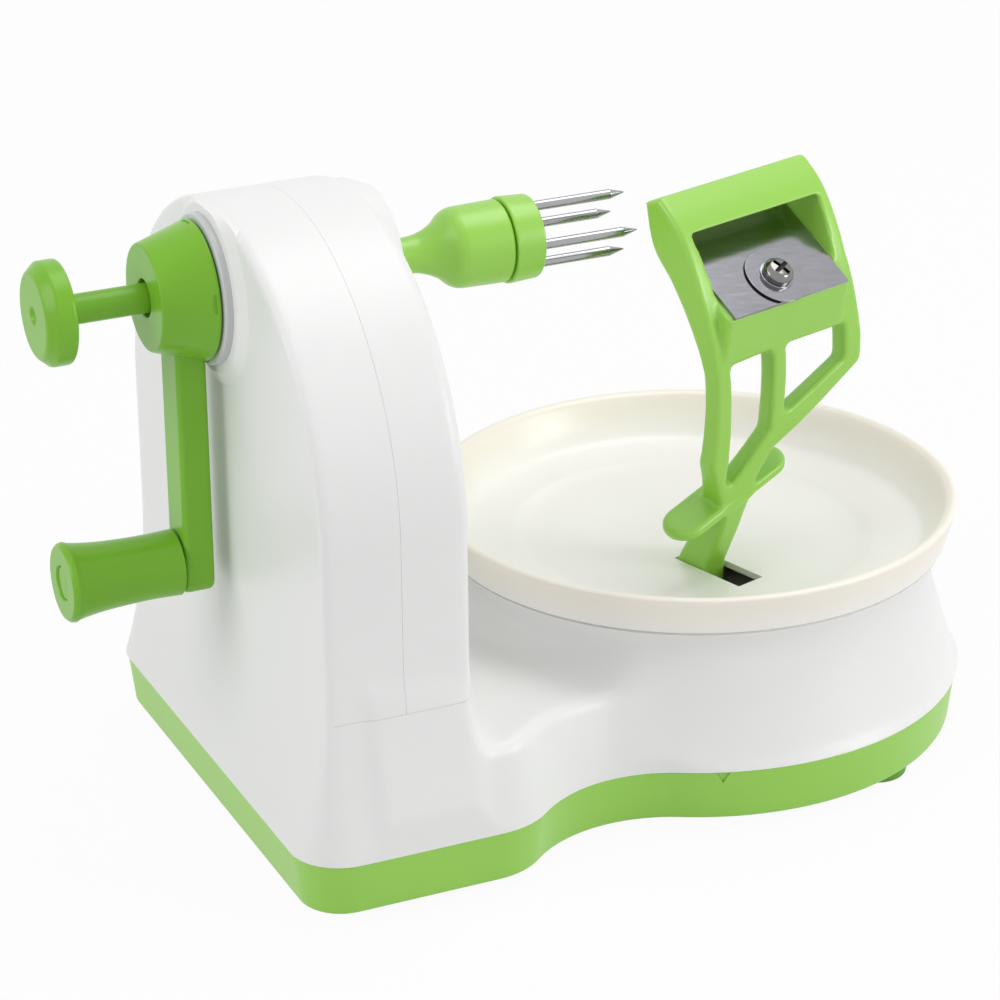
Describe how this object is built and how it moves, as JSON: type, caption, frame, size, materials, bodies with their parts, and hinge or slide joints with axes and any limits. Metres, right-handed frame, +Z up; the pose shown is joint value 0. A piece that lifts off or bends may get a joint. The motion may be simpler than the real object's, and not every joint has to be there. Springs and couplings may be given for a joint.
{
  "type": "rotary apple peeler",
  "caption": "Hand-cranked apple peeler: a crank turns a tined fork in a tower while gears swing a sprung blade arm on a dish round the fruit.",
  "frame": {"origin": "on the surface it stands on, under the middle of its length and width", "axes": "+X along the fork from the crank to the dish, +Z up, -Y the side that faces the viewer"},
  "size_m": [0.232, 0.135, 0.1528],
  "materials": {
    "green_plastic": "satin moulded",
    "green_rubber": "soft matt",
    "white_plastic": "satin moulded",
    "ivory_plastic": "glossy moulded",
    "grey_plastic": "fine matt",
    "gear_plastic": "fine matt",
    "bright_steel": "polished",
    "blade_steel": "ground",
    "steel": "drawn"
  },
  "bodies": {
    "root": {"base_tray": "green_plastic", "base_feet": "green_rubber", "base_screws": "steel", "body_shell": "white_plastic", "tower_cover": "white_plastic", "cover_screws": "steel", "front_bush": "grey_plastic", "rear_bush": "grey_plastic", "upper_axle": "steel", "middle_axle": "steel", "shaft_bearings": "gear_plastic", "turntable_post": "steel", "turntable_screw": "steel"},
    "spindle": {"crank": "green_plastic", "handle_pin": "steel", "fork_holder": "green_plastic", "fork_tines": "bright_steel", "spindle_pinion": "gear_plastic"},
    "handle": {"crank_handle": "green_plastic", "handle_cap": "green_plastic"},
    "ejector": {"ejector_cap": "green_plastic", "ejector_rod": "steel", "ejector_knob": "green_plastic"},
    "upper_gear": {"upper_gear": "gear_plastic"},
    "middle_gear": {"middle_gear": "gear_plastic"},
    "lower_shaft": {"lower_gear": "gear_plastic", "lower_shaft": "steel", "lower_pinion": "gear_plastic"},
    "turntable": {"turntable_gear": "gear_plastic", "dish": "ivory_plastic", "arm_pin": "steel", "arm_spring": "steel"},
    "arm": {"peeler_arm": "green_plastic", "blade": "blade_steel", "blade_washer": "bright_steel", "blade_screw": "bright_steel"}
  },
  "joints": [
    {"name": "crank_turn", "type": "hinge", "parent": "root", "child": "spindle", "pos_m": [0, 0, 0.1328], "axis": [1, 0, 0], "range_deg": [-4220, 340]},
    {"name": "handle_spin", "type": "hinge", "parent": "spindle", "child": "handle", "pos_m": [-0.1, 0, 0.0668], "axis": [1, 0, 0], "continuous": true},
    {"name": "ejector_slide", "type": "slide", "parent": "spindle", "child": "ejector", "axis": [1, 0, 0], "range_m": [0, 0.018]},
    {"name": "upper_gear_spin", "type": "hinge", "parent": "root", "child": "upper_gear", "pos_m": [0, 0.00768, 0.09304], "axis": [1, 0, 0], "range_deg": [-145.2, 1778.8]},
    {"name": "middle_gear_spin", "type": "hinge", "parent": "root", "child": "middle_gear", "pos_m": [0, 0, 0.0548], "axis": [1, 0, 0], "range_deg": [-791.7, 65.6]},
    {"name": "lower_shaft_spin", "type": "hinge", "parent": "root", "child": "lower_shaft", "pos_m": [0, 0, 0.0263], "axis": [1, 0, 0], "range_deg": [-39.1, 462.7]},
    {"name": "turntable_turn", "type": "hinge", "parent": "root", "child": "turntable", "pos_m": [0.04905, 0, 0.03], "axis": [0, 0, 1], "range_deg": [-9.4, 94.1]},
    {"name": "arm_tilt", "type": "hinge", "parent": "turntable", "child": "arm", "pos_m": [0.04333, -0.01378, 0.024], "axis": [0.9563, 0.2924, 0], "range_deg": [0, 18], "stiffness_Nm_per_rad": 0.4, "springref_deg": -34.38, "deforming": ["arm_spring"]}
  ],
  "couplings": [
    {"joint": "upper_gear_spin", "follows": "crank_turn", "ratio": -0.42105},
    {"joint": "middle_gear_spin", "follows": "crank_turn", "ratio": 0.18713},
    {"joint": "lower_shaft_spin", "follows": "crank_turn", "ratio": -0.10916},
    {"joint": "turntable_turn", "follows": "crank_turn", "ratio": -0.021832}
  ]
}
